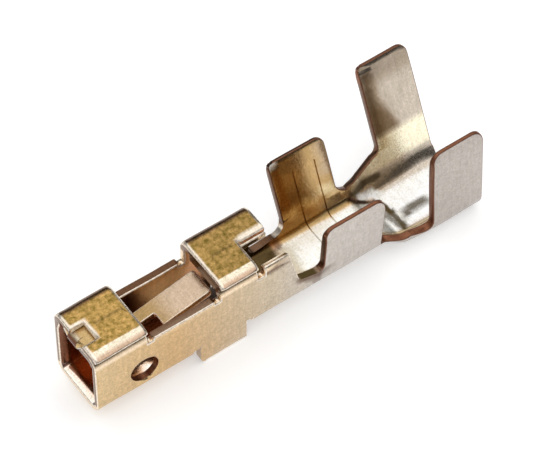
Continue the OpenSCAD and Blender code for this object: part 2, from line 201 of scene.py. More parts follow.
def folded(x, s):
    """Where points of the blank's middle face come to lie, and the way that its outer face looks there."""
    x = np.asarray(x, float)
    s = np.asarray(s, float)
    _, _, floor_z, shift, _, _ = trough_at(x).T
    place = np.zeros((len(x), 3))
    facing = np.zeros((len(x), 3))
    for side, wall, top_bend in ((1, left_wall, roof_bend), (-1, right_wall, seam_bend)):
        mine = (s >= 0) == (side > 0)
        open_wall = np.where(x < past_roofs, wall, endless)
        path = foot(x, side)
        path += [(open_wall, 0.0), ((top_bend - middle) * quarter, quarter), (roof_width, 0.0)]
        if side > 0:
            path += lap_path
        out, rise, heading = walk(np.abs(s), path)
        place[mine] = np.stack([x, shift + side * out, floor_z + middle + rise], 1)[mine]
        facing[mine] = np.stack([0 * x, side * np.sin(heading), -np.cos(heading)], 1)[mine]
    # The keying tabs go straight on down from the walls
    tab = (x > tab_start - touching) & (x < tab_end + touching) & (np.abs(s) < wall_start)
    side = np.sign(s[tab])
    place[tab, 1] = side * (box_width - sheet) / 2
    place[tab, 2] = floor_bend - wall_start + np.abs(s[tab])
    facing[tab] = np.stack([0 * side, side, 0 * side], 1)
    # The spring is folded back under the front edge of the inner roof
    spring = (x < 0) | ((x < fold_start) & (s < arm_right + beside_arm) & (s > arm_left - beside_arm))
    run, drop, heading = walk(np.maximum(fold_start - x[spring], 0), spring_path)
    place[spring, 0] = fold_start - run
    place[spring, 1] = seam_bend - box_width / 2 - s[spring] - inner_roof_start
    place[spring, 2] = inner_roof - middle - drop
    facing[spring] = np.stack([-np.sin(heading), 0 * heading, np.cos(heading)], 1)
    return place, facing


# How far out and how finely the folded sheet is searched for a height
furthest_tip = 4.4
tries = 1100


def across(x, height, side):
    """The length along the sheet, left or right of the floor's middle, at which it reaches a height."""
    reach = np.linspace(0, furthest_tip, tries)
    place, _ = folded(np.full(tries, x), side * reach)
    return side * float(np.interp(height, place[:, 2], reach))


def arc(x, s, start, end, radius, steps=7):
    """Points round a corner of the blank, from one angle to another in degrees."""
    angles = np.radians(np.linspace(start, end, steps))
    return [(x + radius * math.cos(a), s + radius * math.sin(a)) for a in angles]


def wing_length(section, lean, straight):
    """Length along the sheet from the floor's middle to the tip of a wing."""
    return section[0] - section[1] + (section[1] - middle) * (quarter - lean) + straight


left_conductor_tip = wing_length(conductor_section, conductor_leans[0], straight=1.96)
right_conductor_tip = wing_length(conductor_section, conductor_leans[1], straight=1.79)
left_barrel_tip = across(barrel_end, height=2.826, side=1)
right_barrel_tip = wing_length(barrel_section, barrel_leans[1], straight=2.42)

# Corner radii of the blank, and the relief slots beside its bends
root = 0.20
wing_root = 0.28
slot = 0.16
slot_depth = 0.10
conductor_corner = 0.26
barrel_corner = 0.28


def torn_corner(x, s):
    """The ragged front corner at the tip of a left wing."""
    return [(x, s - 0.17), (x + 0.03, s - 0.12), (x + 0.025, s - 0.08), (x + 0.085, s - 0.03),
            (x + 0.11, s - 0.04), (x + 0.16, s)]


def on_wall(height):
    """Length along the sheet at which a side wall of the box reaches a height."""
    return wall_start + height - floor_bend


def root_arc(x, height, side, start, end, radius):
    """The rounded root of a wing, which meets the neck's edge at a height."""
    return arc(x, across(x, height, side) + side * radius, start, end, radius)


# Left half of the blank's outline, from the mouth to the wire end
half_roof_edge = outer_roof_start + box_width / 2 - roof_bend
notch_depth = 0.40
notch_near_side = 0.19
notch_far_side = 0.35
notch_near = half_roof_edge - notch_near_side
notch_far = half_roof_edge + notch_far_side
roof_notch = [(0, notch_near), (notch_depth, notch_near), (notch_depth, notch_far), (0, notch_far)]
left_sill = on_wall(height=1.60)
left_slot = left_sill - slot_depth
sill_from = front_end + slot
sill_to = rear_start - slot
wing_start = conductor_start + conductor_setback
wing_end = conductor_end - conductor_setback

# Heights of the necks' edges
front_neck_left = 0.34
front_neck_right = 0.72
front_root_s = across(wing_start - wing_root, front_neck_left, 1)
neck_middle = (conductor_end + barrel_start) / 2
rear_neck_left = [(neck_middle - 0.2, 0.42), (neck_middle, 0.42), (neck_middle + 0.25, 0.48)]
left_end = barrel_end - 0.03
outline = [(0, 0), *roof_notch, (0, lap_end), (front_end, lap_end)]
outline += [(front_end, left_slot), (sill_from, left_slot), (sill_from, left_sill),
            (sill_to, left_sill), (sill_to, left_slot), (rear_start, left_slot)]
outline += [(rear_start, lap_end), (rear_end, lap_end)]
outline += [(rear_end, half_roof_edge), (half_roof_end, half_roof_edge)]
outline += arc(half_roof_end + root, across(half_roof_end, front_neck_left, 1) + root, 180, 270, root)
outline += arc(wing_start - wing_root, front_root_s + wing_root, 270, 360, wing_root)
outline += torn_corner(wing_start, left_conductor_tip)
outline += arc(wing_end - conductor_corner, left_conductor_tip - conductor_corner, 90, 0, conductor_corner)
outline += root_arc(wing_end + wing_root, 0.47, 1, 180, 270, wing_root)
outline += [(x, across(x, height, 1)) for x, height in rear_neck_left]
outline += root_arc(barrel_start - root, 0.57, 1, 270, 360, root)
outline += torn_corner(barrel_start, left_barrel_tip)
outline += arc(left_end - barrel_corner, left_barrel_tip - barrel_corner, 90, 0, barrel_corner)
outline += [(left_end, across(barrel_end, 0.12, 1)), (barrel_end, across(barrel_end, 0.0, 1))]

# Right half of the outline, from the wire end back to the mouth
right_corner = conductor_corner - right_conductor_tip
outline += arc(barrel_end - barrel_corner, barrel_corner - right_barrel_tip, 0, -90, barrel_corner)
outline += arc(barrel_start + barrel_corner, barrel_corner - right_barrel_tip, 270, 180, barrel_corner)
outline += root_arc(barrel_start - root, 0.03, -1, 0, 90, root)
outline += [(neck_middle + 0.1, across(neck_middle + 0.1, 0.12, -1))]
outline += root_arc(conductor_end + root, 0.22, -1, 90, 180, root)
outline += arc(conductor_end - conductor_corner, right_corner, 360, 270, conductor_corner)
outline += arc(conductor_start + conductor_corner, right_corner, 270, 180, conductor_corner)
outline += root_arc(conductor_start - root, front_neck_right, -1, 0, 90, root)

# The shoulder's lip and the right sill lie on lines of the seam bend, which the mesh follows anyway
seam_steps = 7
lip = -seam_start - 3 / seam_steps * (inner_roof_start - seam_start)
right_sill = -seam_start
right_slot = right_sill + slot_depth
layer_width = 0.495
layer_edge = -inner_roof_start - layer_width
layer_step = 0.05
step_s = -inner_roof_start - layer_step
outline += [(slope_end, across(slope_end, front_neck_right, -1)), (shoulder_end + 0.03, lip + 0.06)]
outline += [(shoulder_end, lip), (shoulder_start, lip), (shoulder_start, right_slot), (rear_end, right_slot)]
outline += [(rear_end, step_s), (rear_end + layer_step, step_s), (rear_end + layer_step, layer_edge),
            (half_roof_end, layer_edge), (half_roof_end, -inner_roof_end), (rear_start, -inner_roof_end)]
outline += [(rear_start, right_slot), (sill_to, right_slot), (sill_to, right_sill), (sill_from, right_sill),
            (sill_from, right_slot), (front_end, right_slot), (front_end, -inner_roof_end)]
outline += [(0, -inner_roof_end)]

# The spring stands out ahead of the mouth, with a relief slit on each side of its arm
relief = 0.012
blade_corner = 0.09
arm_corner = 0.05
outline += [(0, arm_left - relief), (fold_start, arm_left - relief), (fold_start, arm_left)]
outline += arc(spring_tip + blade_corner, arm_left + blade_corner, 270, 180, blade_corner)
outline += arc(spring_tip + blade_corner, blade_right - blade_corner, 180, 90, blade_corner)
outline += [(blade_front, blade_right)]
outline += arc(blade_front + arm_corner, arm_right + arm_corner, 180, 270, arm_corner, 4)
outline += [(fold_start, arm_right), (fold_start, arm_right + relief), (0, arm_right + relief)]

# Openings: the lanced floor, which leaves the two keying tabs, and the round peephole in the right wall
tab_tip = wall_start - floor_bend - tab_drop
tab_corner = 0.16
opening = [(tab_start - slot, -wall_start), (tab_start, -wall_start)]
opening += arc(tab_start + tab_corner, -tab_tip - tab_corner, 180, 90, tab_corner)
opening += [(tab_end, -tab_tip), (tab_end, -wall_start), (tab_end + slot, -wall_start)]
opening += [(tab_end + slot, wall_start), (tab_end, wall_start), (tab_end, tab_tip)]
opening += arc(tab_start + tab_corner, tab_tip + tab_corner, 270, 180, tab_corner)
opening += [(tab_start, wall_start), (tab_start - slot, wall_start)]
hole_x = 1.36
hole_s = -on_wall(height=0.70)
hole_radius = 0.38
hole_roll = 0.10


def ring(radius):
    """A circle round the peephole's middle."""
    return arc(hole_x, hole_s, 0, 351, radius, 40)


peephole = ring(hole_radius)

# Lines on the blank: its outlines, and every line along which it is divided so that it can bend
points = []
lines = []


def draw(route, closed=False):
    """Adds a route to the drawing of the blank."""
    first = len(points)
    points.extend(Vector(point) for point in route)
    lines.extend((k, k + 1) for k in range(first, len(points) - 1))
    if closed:
        lines.append((len(points) - 1, first))


draw(outline, True)
draw(opening, True)
for share in (0, 0.3, 0.6, 1):
    draw(ring(hole_radius + share * hole_roll), True)
front_neck = np.linspace(tube_end, conductor_start, 10)
rear_neck = np.linspace(conductor_end, barrel_start, 16)
stations = np.concatenate([[0.0], front_neck, rear_neck, [barrel_end]])

# A line just outside each bend holds the sheet beside it flat
hold = 0.04
for side in (1, -1):
    (run, _), (first, _), (second, _) = foot(stations, side)
    reaches = [run - hold]
    reaches += [run + first * share for share in np.linspace(0, 1, 7)]
    reaches += [run + first + second * share for share in np.linspace(0.33, 1, 3)]
    reaches += [run + first + second + hold]
    for reach in reaches:
        draw(list(zip(stations, side * reach)))
neck_reach = 1.8
for x in np.concatenate([front_neck, rear_neck]):
    draw([(x, -neck_reach), (x, neck_reach)])


def bend_lines(start, end, steps, first, last):
    """Lines along a bend of the box, with one more just outside it on each side."""
    for s in [start - math.copysign(hold, end - start), *np.linspace(start, end, steps),
              end + math.copysign(hold, end - start)]:
        draw([(first, s), (last, s)])


bend_lines(-seam_start, -inner_roof_start, seam_steps + 1, 0, shoulder_end)
bend_lines(left_bend_start, outer_roof_start, 9, 0, half_roof_end)
for first, last in ((0, front_end), (rear_start, rear_end)):
    spent = lap_start
    for length, turn in lap_path:
        for share in (0, 1) if turn else ():
            draw([(first, spent + share * length), (last, spent + share * length)])
        spent += length
    draw([(first, lap_start - hold), (last, lap_start - hold)])
spent = fold_start
beyond = 0.01
bend_step = math.radians(9)
for length, turn in spring_path:
    for share in np.linspace(0, 1, 1 + math.ceil(abs(turn) / bend_step)):
        draw([(spent - share * length, arm_left - beyond), (spent - share * length, blade_right + beyond)])
    spent -= length

# The roofs' cut edges are rounded over on top by the shears
roof_cuts = [[(0, left_bend_start), *roof_notch, (0, lap_end)],
             [(front_end, left_bend_start), (front_end, lap_end)],
             [(rear_start, left_bend_start), (rear_start, lap_end)],
             [(rear_end, lap_end), (rear_end, half_roof_edge), (half_roof_end, half_roof_edge),
              (half_roof_end, left_bend_start)]]
round_middle = 0.055
round_width = 0.09
round_depth = 0.05
for away in (round_middle, round_width):
    for x, first, last in ((away, left_bend_start, lap_end),
                           (notch_depth + away, notch_near - away, notch_far + away),
                           (front_end - away, left_bend_start, lap_end),
                           (rear_start + away, left_bend_start, lap_end),
                           (rear_end - away, half_roof_edge - away, lap_end),
                           (half_roof_end - away, left_bend_start, half_roof_edge)):
        draw([(x, first), (x, last)])
    for s, first, last in ((notch_near - away, 0, notch_depth + away),
                           (notch_far + away, 0, notch_depth + away),
                           (half_roof_edge - away, rear_end - away, half_roof_end)):
        draw([(first, s), (last, s)])

# The half roof's free edge is cut to a slope
half_cut = [(rear_end + 0.10, half_roof_edge), (half_roof_end, half_roof_edge)]
half_cut_width = 0.16
half_cut_depth = 0.10
half_cut_foot = half_roof_edge - half_cut_width
draw([(rear_end - half_cut_width, half_cut_foot), (half_roof_end, half_cut_foot)])

# A faint crease runs along each roof, and the mouth slopes in on the floor and the walls
crease_end = 0.16
crease = [[(0.62, half_roof_edge), (front_end - crease_end, half_roof_edge)],
          [(rear_start + 0.35, half_roof_edge), (rear_end - crease_end, half_roof_edge)]]
crease_width = 0.06
crease_depth = 0.014
for (first, s), (last, _) in crease:
    for away in (-crease_width, -crease_width / 2, 0, crease_width / 2, crease_width):
        draw([(first, s + away), (last, s + away)])
mouth_depth = 0.07
mouth_slope = 0.16
draw([(mouth_slope, -seam_start), (mouth_slope, left_bend_start)])

# Grip grooves across the wire barrel, and the thinned tips of all four wings
groove_depth = 0.035
groove_width = 0.24
groove_side = 0.02
groove_first = conductor_start + 0.425
groove_pitch = 0.63
groove_count = 2
groove_starts = [groove_first + groove_pitch * k for k in range(groove_count)]
groove_left = left_conductor_tip - 0.50
groove_right = right_conductor_tip - 0.40
for start in groove_starts:
    for x in (start, start + groove_side, start + groove_width - groove_side, start + groove_width):
        draw([(x, -groove_right), (x, groove_left)])
for edge in (-groove_right, -groove_right + groove_side, groove_left - groove_side, groove_left):
    draw([(groove_starts[0], edge), (groove_starts[-1] + groove_width, edge)])
tip_length = 0.32
tip_thickness = 0.10
tip_slope = 0.60
wings = [(conductor_start, conductor_end, left_conductor_tip),
         (conductor_start, conductor_end, -right_conductor_tip),
         (barrel_start, barrel_end, left_barrel_tip),
         (barrel_start, barrel_end, -right_barrel_tip)]
for first, last, tip in wings:
    draw([(first, tip - math.copysign(tip_length, tip)), (last, tip - math.copysign(tip_length, tip))])


def clear(place, taken, room):
    """Whether a grid line keeps its distance from the lines already drawn."""
    return min(abs(place - line) for line in taken) > room


# A light grid over everything, finer at the barrels, so that the sheet can be a little uneven
grid_border = 5.4
box_grid = 0.2
barrel_grid = 0.1
cut_room = 0.05
line_room = 0.04
groove_lines = [start + offset for start in groove_starts for offset in (0.01, groove_width - 0.01)]
cut_x = [x for x, s in outline + opening if x < grid_border or abs(s) > 1.5]
cut_x += [round_width, notch_depth + round_width, front_end - round_width]
cut_x += [rear_start + round_width, rear_end - round_width]
cut_s = [s for x, s in outline + opening if x < grid_border]
grid_x = [*np.arange(spring_tip + 0.1, grid_border, box_grid), *np.arange(5.45, barrel_end, barrel_grid)]
for x in grid_x:
    if clear(x, groove_lines, line_room) and clear(x, cut_x, cut_room):
        draw([(x, -inner_roof_end), (x, lap_end)])
for s in np.arange(-inner_roof_end + 0.1, lap_start, box_grid):
    if clear(s, cut_s, cut_room):
        draw([(spring_tip, s), (grid_border, s)])
wing_lines = [tip - math.copysign(inset, tip) for _, _, tip in wings for inset in (0, tip_length)]
wing_lines += [-groove_right, groove_left]
for s in np.arange(-right_barrel_tip + 0.05, left_barrel_tip, barrel_grid):
    if clear(s, wing_lines, line_room):
        draw([(grid_border, s), (barrel_end, s)])

# Hollows of the rear neck and the insulation barrel, which the mesh follows so that the painted shade along
# them is fine
throat = [(8.3, 0.74), (8.4, 0.71), (8.53, 0.61), (8.75, 0.58), (8.92, 0.53), (9.04, 0.3), (9.08, 0.0)]
below_throat = [(8.88, 0.1), (9.0, -0.2), (9.06, -0.5)]
floor_step = [(9.04, 0.3), (9.08, 0.1), (9.1, -0.05), (9.14, -0.22), (9.11, -0.42), (9.1, -0.56)]
barrel_fold = [(8.42, 0.8), (8.6, 1.0), (8.83, 1.18), (9.3, 1.14), (9.7, 1.1), (10.05, 1.1), (10.46, 1.14),
               (10.73, 1.2)]
for route in (throat, below_throat, floor_step, barrel_fold):
    for away in (-0.12, -0.06, 0, 0.06, 0.12):
        draw([(x + 0.5 * away, s + away) for x, s in route])


def inside(places, border):
    """Which places lie inside a closed border."""
    found = np.zeros(len(places), bool)
    border = np.array(border)
    for (x0, s0), (x1, s1) in zip(border, np.roll(border, -1, 0)):
        if s0 != s1:
            crosses = (s0 > places[:, 1]) != (s1 > places[:, 1])
            found ^= crosses & (places[:, 0] < (x1 - x0) * (places[:, 1] - s0) / (s1 - s0) + x0)
    return found


def gap_to(places, route):
    """Distance over the blank from places to a route."""
    gap = np.full(len(places), 1e9)
    route = np.array(route, float)
    for start, end in zip(route[:-1], route[1:]):
        along = np.clip((places - start) @ (end - start) / ((end - start) @ (end - start)), 0, 1)
        gap = np.minimum(gap, np.linalg.norm(places - start - along[:, None] * (end - start), axis=1))
    return gap


def to_cuts(places):
    """Distance over the blank from places to the nearest cut."""
    return np.minimum(gap_to(places, outline + outline[:1]), gap_to(places, opening + opening[:1]))


# Points close beside a cut are left out, since the rounding of that cut's edge needs the room
rounding_room = 0.045
same_point = 1e-5
flat, pairs, _, _, sources, _ = delaunay_2d_cdt(points, lines, [], 0, same_point)
flat = np.array([list(point) for point in flat])
beside = to_cuts(flat)
kept = (beside < touching) | (beside > rounding_room)
renumbered = np.cumsum(kept) - 1
pairs = np.array([list(pair) for pair in pairs])
drawn = np.array([bool(source) for source in sources])
beside = to_cuts(flat[pairs].mean(1))
wanted = kept[pairs].all(1) & ((beside < touching) | (beside > rounding_room / 2)) & drawn
lines = [(int(a), int(b)) for a, b in renumbered[pairs[wanted]]]
flat, _, cells, _, _, _ = delaunay_2d_cdt([Vector(point) for point in flat[kept]], lines, [], 0, same_point)
flat = np.array([list(point) for point in flat])
cells = np.array([list(cell) for cell in cells])
centres = flat[cells].mean(1)
cells = cells[inside(centres, outline) & ~inside(centres, opening) & ~inside(centres, peephole)]
used, cells = np.unique(cells, return_inverse=True)
cells = cells.reshape(-1, 3)
blank_x, blank_s = flat[used].T
middle_face, facing = folded(blank_x, blank_s)


def zone(start, end, value, soft):
    """1 between two lengths and 0 elsewhere, with soft borders."""
    return eased(start - soft, start + soft, value) * (1 - eased(end - soft, end + soft, value))


def distance(route):
    """Distance over the blank from each point of the mesh to a route."""
    return gap_to(flat[used], route)


def near(route, reach):
    """1 along a route over the blank, falling off to 0 at a distance from it, with an uneven border."""
    ragged = 0.018 * np.sin(31 * blank_x + 9 * blank_s) * np.sin(27 * blank_s - 12 * blank_x + 1)
    return 1 - eased(0.35 * reach, reach, distance(route) + ragged)


# Two skins half a thickness out from the middle face, with the small presswork on each
wave = 0.004 * np.sin(2.3 * blank_x + 1.9 * blank_s) + 0.003 * np.sin(4.1 * blank_x - 3.3 * blank_s + 1.0)
wave *= eased(0.05, 0.3, blank_x)
hole_distance = np.hypot(blank_x - hole_x, blank_s - hole_s) - hole_radius
roll_depth = 0.04
rolled = roll_depth * np.clip(1 - hole_distance / hole_roll, 0, 1) ** 2
thinned = np.zeros_like(blank_x)
eased_in = np.zeros_like(blank_x)
thinned_outside = 0.8
thinned_inside = 0.2
above_roots = 1.0
wing_border = 1e-3
for first, last, tip in wings:
    on_side = blank_s * math.copysign(1, tip) > above_roots
    on_wing = (blank_x > first - wing_border) & (blank_x < last + wing_border) & on_side
    from_tip = (np.abs(tip) - np.abs(blank_s))[on_wing]
    thinned[on_wing] = thinned_outside * (sheet - tip_thickness) * np.clip(1 - from_tip / tip_length, 0, 1)
    eased_in[on_wing] = thinned_inside * (sheet - tip_thickness) * (1 - eased(0, tip_slope, from_tip))
seat_depth = 0.05
seat_across = np.clip((-0.34 - blank_s) / 0.24, 0, 1) * (1 - eased(0.58, 0.75, -blank_s))
seat = seat_depth * seat_across * zone(1.38, 1.75, blank_x, 0.08)
from_cut = np.min([distance(route) for route in roof_cuts], 0)
rounded = np.clip(1 - from_cut / round_width, 0, 1) * eased(left_bend_start, outer_roof_start, blank_s)
in_mouth = (blank_x >= 0) & (np.abs(blank_s) < seam_start)
lead_in = mouth_depth * np.clip(1 - blank_x / mouth_slope, 0, 1) * in_mouth
half_cut_share = np.clip(1 - distance(half_cut) / half_cut_width, 0, 1) * (blank_s > outer_roof_start)
creased = np.clip(1 - np.min([distance(route) for route in crease], 0) / crease_width, 0, 1)
roof_drop = np.maximum(round_depth * rounded, half_cut_depth * half_cut_share) + crease_depth * creased
outer = middle_face + facing * (middle + wave - rolled - thinned - roof_drop)[:, None]
inner = middle_face - facing * (middle - wave - eased_in - lead_in - seat)[:, None]
count = len(used)
directed = {(int(a), int(b)) for cell in cells for a, b in zip(cell, np.roll(cell, -1))}
rims = [pair for pair in directed if pair[::-1] not in directed]
skin_faces = [tuple(int(v) for v in cell[::-1]) for cell in cells]
skin_faces += [tuple(int(v) + count for v in cell) for cell in cells]
rim_faces = [(a, b, b + count, a + count) for a, b in rims]
places = np.concatenate([outer, inner]) - (0.0, 0.0, pin_height)
mesh = bpy.data.meshes.new("contact_body")
mesh.from_pydata((places * MM).tolist(), [], skin_faces + rim_faces)
for name, values in (("along", blank_x * MM), ("aside", blank_s * MM), ("inside", None)):
    stored = mesh.attributes.new(name, "FLOAT", "POINT")
    values = np.repeat((0.0, 1.0), count) if values is None else np.tile(values, 2)
    stored.data.foreach_set("value", values)
stored = mesh.attributes.new("facing", "FLOAT_VECTOR", "POINT")
stored.data.foreach_set("vector", np.tile(facing, (2, 1)).ravel())

# Grip grooves: two shallow furrows pressed into the strip across the inside of the wire barrel, to hold the
# strands. One tree sinks the sheet's inner face row by row, and the result is kept as a plain mesh.
strip = bpy.data.materials.new("plated_strip")
tree = bpy.data.node_groups.new("grip grooves", "GeometryNodeTree")
tree.interface.new_socket("Geometry", in_out="INPUT", socket_type="NodeSocketGeometry")
groove_sizes = {"First": groove_first * MM, "Pitch": groove_pitch * MM, "Count": float(groove_count),
                "Width": groove_width * MM, "Depth": groove_depth * MM, "Side": groove_side * MM,
                "Left reach": groove_left * MM, "Right reach": groove_right * MM}
size_sockets = {}
for name in groove_sizes:
    socket = tree.interface.new_socket(name, in_out="INPUT", socket_type="NodeSocketFloat")
    size_sockets[name] = socket.identifier
socket = tree.interface.new_socket("Material", in_out="INPUT", socket_type="NodeSocketMaterial")
material_socket = socket.identifier
tree.interface.new_socket("Geometry", in_out="OUTPUT", socket_type="NodeSocketGeometry")
given = tree.nodes.new("NodeGroupInput").outputs


def fill(group, node, values):
    """Gives a node's inputs their values, or links them where a value comes from another node."""
    for name, value in values.items():
        if isinstance(value, bpy.types.NodeSocket):
            group.links.new(value, node.inputs[name])
        else:
            node.inputs[name].default_value = value


def added(group, kind, values, **settings):
    """A new node in a tree, with its settings made and its inputs filled."""
    node = group.nodes.new(kind)
    for name, setting in settings.items():
        setattr(node, name, setting)
    fill(group, node, values)
    return node


def stored_value(name, kind="FLOAT"):
    """An attribute of the mesh, read in the tree."""
    return added(tree, "GeometryNodeInputNamedAttribute", {"Name": name}, data_type=kind).outputs["Attribute"]


def worked_out(operation, *sides):
    """A sum in the tree, from sockets or plain numbers."""
    return added(tree, "ShaderNodeMath", dict(enumerate(sides)), operation=operation).outputs["Value"]


past_first = worked_out("SUBTRACT", stored_value("along"), given["First"])
row = worked_out("FLOOR", worked_out("DIVIDE", past_first, given["Pitch"]))
row = worked_out("MAXIMUM", worked_out("MINIMUM", row, worked_out("SUBTRACT", given["Count"], 1.0)), 0.0)
in_row = worked_out("SUBTRACT", past_first, worked_out("MULTIPLY", row, given["Pitch"]))
from_side = worked_out("MINIMUM", in_row, worked_out("SUBTRACT", given["Width"], in_row))
from_left = worked_out("SUBTRACT", given["Left reach"], stored_value("aside"))
from_right = worked_out("ADD", stored_value("aside"), given["Right reach"])
from_edge = worked_out("MINIMUM", from_side, worked_out("MINIMUM", from_left, from_right))
share = worked_out("MAXIMUM", worked_out("MINIMUM", worked_out("DIVIDE", from_edge, given["Side"]), 1.0), 0.0)
sunk = worked_out("MULTIPLY", worked_out("MULTIPLY", share, given["Depth"]), stored_value("inside"))
outward = stored_value("facing", "FLOAT_VECTOR")
push = added(tree, "ShaderNodeVectorMath", {0: outward, "Scale": sunk}, operation="SCALE")
pressing = {"Geometry": given["Geometry"], "Offset": push.outputs["Vector"]}
press = added(tree, "GeometryNodeSetPosition", pressing)
realize = added(tree, "GeometryNodeRealizeInstances", {"Geometry": press.outputs["Geometry"]})
covering = {"Geometry": realize.outputs["Geometry"], "Material": given["Material"]}
cover = added(tree, "GeometryNodeSetMaterial", covering)
added(tree, "NodeGroupOutput", {"Geometry": cover.outputs["Geometry"]})
body = bpy.data.objects.new("contact_body", mesh)
bpy.context.scene.collection.objects.link(body)
grooves = body.modifiers.new("grip grooves", "NODES")
grooves.node_group = tree
for name, size in groove_sizes.items():
    grooves[size_sockets[name]] = size
grooves[material_socket] = strip


def plain_mesh(piece):
    """The piece's mesh with its modifiers worked in."""
    view = bpy.context.evaluated_depsgraph_get()
    worked = piece.evaluated_get(view)
    return bpy.data.meshes.new_from_object(worked, preserve_all_data_layers=True, depsgraph=view)


mesh = plain_mesh(body)
body.modifiers.clear()
body.data = mesh

# Plating by zone as red, green, blue and roughness: gold at the box, tin at the barrels, duller inside.
# Painted shade and painted highlights are laid over it in the same colours.
gold = (0.66, 0.48, 0.26, 0.22)
deep_gold = (0.61, 0.40, 0.19, 0.22)
pale_gold = (0.59, 0.49, 0.36, 0.26)
tin = (0.57, 0.52, 0.47, 0.34)
grey_tin = (0.48, 0.43, 0.39, 0.34)
olive = (0.46, 0.285, 0.085, 0.30)
lap_pink = (0.62, 0.43, 0.30, 0.24)
crest_highlight = (0.90, 0.78, 0.60, 0.20)
blade_pink = (0.58, 0.435, 0.31, 0.28)
copper = (0.72, 0.36, 0.18, 0.16)
inner_gold = (0.80, 0.50, 0.21, 0.50)
fold_gold = (0.60, 0.44, 0.25, 0.75)
arm_gold = (0.40, 0.26, 0.11, 0.22)
floor_highlight = (1.0, 0.95, 0.85, 0.10)
wing_brown = (0.52, 0.34, 0.15, 0.18)
wing_tan = (0.58, 0.50, 0.41, 0.20)
wing_cream = (1.0, 0.92, 0.70, 0.22)
floor_cream = (1.0, 0.99, 0.93, 0.34)
floor_tin = (0.98, 0.97, 0.95, 0.36)
edge_gold = (0.88, 0.70, 0.50, 0.26)
cut_highlight = (0.97, 0.86, 0.72, 0.28)
cut_orange = (0.72, 0.30, 0.12, 0.40)
cut_rough = (1.0, 0.90, 0.76, 0.75)
edge_copper = (0.24, 0.10, 0.055, 0.40)
dark_olive = (0.07, 0.048, 0.017, 0.24)
dark_brown = (0.13, 0.065, 0.035, 0.26)
seam_shade = (0.24, 0.15, 0.075, 0.30)
shade_red = (0.12, 0.035, 0.018, 0.30)
reflected_brown = (0.22, 0.145, 0.08, 0.22)
neck_olive = (0.62, 0.56, 0.42, 0.34)
gold_highlight = (0.92, 0.78, 0.48, 0.20)
tin_highlight = (1.0, 0.98, 0.94, 0.80)


def lay(plating_and_painted_light, colour, share):
    """Lays a colour over a face by its share at each point, whether plating, painted shade or a painted
    highlight.
    """
    plating_and_painted_light += np.asarray(share)[:, None] * (colour - plating_and_painted_light)


# Outside: gold walls that turn to tin at the front neck, olive mottled roofs and a bright lap. The roofs'
# olive is partly their mottled plating and partly a painted reflection of the dark room above them.
wall_stops = [0.3, 2.2, 5.0, 6.3, 9.6]
wall_plating = np.array([gold, deep_gold, pale_gold, tin, grey_tin])
outer_plating_and_painted_light = np.stack([np.interp(blank_x, wall_stops, channel) for channel in wall_plating.T], 1)
on_box = 1 - eased(5.3, 5.5, blank_x)
on_roof = zone(left_bend_start + 0.2, lap_start, blank_s, 0.03) * on_box
on_lap = eased(lap_start - 0.02, lap_start + 0.02, blank_s) * on_box
lap_crest_highlight = zone(lap_start - 0.01, lap_start + 0.06, blank_s, 0.01) * on_box
on_left_bend = zone(left_bend_start, outer_roof_start - 0.02, blank_s, 0.04) * on_box
on_seam_bend = zone(-inner_roof_start, -seam_start, blank_s, 0.03) * on_box
at_roof_cut = np.maximum(rounded, half_cut_share)
under_lap = zone(-inner_roof_start - 0.05, -seam_start - 0.09, blank_s, 0.02) * (blank_x < rear_end + 0.01)
in_notch = (blank_s < -inner_roof_start) & (blank_x > 0) & (blank_x < 0.6)
# The roofs' olive, partly a painted reflection of the dark room above them
lay(outer_plating_and_painted_light, olive, on_roof)
# The roofs grow darker towards the rear
lay(outer_plating_and_painted_light, dark_olive, 0.30 * on_roof * eased(2.0, 4.6, blank_x))
# Painted shade along the faint creases of the roofs
lay(outer_plating_and_painted_light, dark_olive, 0.45 * creased)
lay(outer_plating_and_painted_light, lap_pink, on_lap)
# Painted highlight along the crest of the lap's first bend
lay(outer_plating_and_painted_light, crest_highlight, lap_crest_highlight)
# Painted reflection of the dark room: a dark band along the roof's left bend
lay(outer_plating_and_painted_light, dark_brown, 0.9 * on_left_bend)
# Painted highlight: the seam bend takes the pale edge gold
lay(outer_plating_and_painted_light, edge_gold, on_seam_bend)
# Painted highlight on the rounded-over and sloped cut edges of the roofs
lay(outer_plating_and_painted_light, cut_highlight, 0.9 * eased(0.0, 0.35, at_roof_cut))
# Painted shade on the seam bend under the lap
lay(outer_plating_and_painted_light, seam_shade, 0.9 * under_lap)
# The inner roof in the notch takes half of the roofs' olive, with the same painted reflection
lay(outer_plating_and_painted_light, olive, 0.5 * in_notch)

# Dark marks outside at the shoulder and the front neck, the first painted shade in the crease under the
# shoulder's lip: share, reach to each side, and the route along the middle
shoulder_shade_line = -seam_start + 0.03
outer_dark_marks = [(0.85, 0.10, [(4.78, shoulder_shade_line), (5.36, shoulder_shade_line)]),
                (0.85, 0.20, [(5.78, -1.3), (6.0, -1.22), (6.28, -1.25)]),
                (0.60, 0.18, [(6.2, -1.0), (6.25, -1.2)])]
for share, reach, route in outer_dark_marks:
    lay(outer_plating_and_painted_light, dark_brown, share * near(route, reach))
on_fold = (blank_x < fold_start - 0.02) & (blank_s > arm_left - 0.005) & (blank_s < arm_right + 0.005)
lay(outer_plating_and_painted_light, fold_gold, on_fold)
# Painted highlight: a pale line across the spring's fold
lay(outer_plating_and_painted_light, crest_highlight, 0.8 * on_fold * zone(0.13, 0.17, blank_x, 0.02))
# Painted shade: the front of the spring's fold and the spring's underside are darkened
lay(outer_plating_and_painted_light, shade_red, 0.95 * on_fold * eased(0.14, 0.09, blank_x))
lay(outer_plating_and_painted_light, shade_red, 0.8 * (blank_x < -0.06))

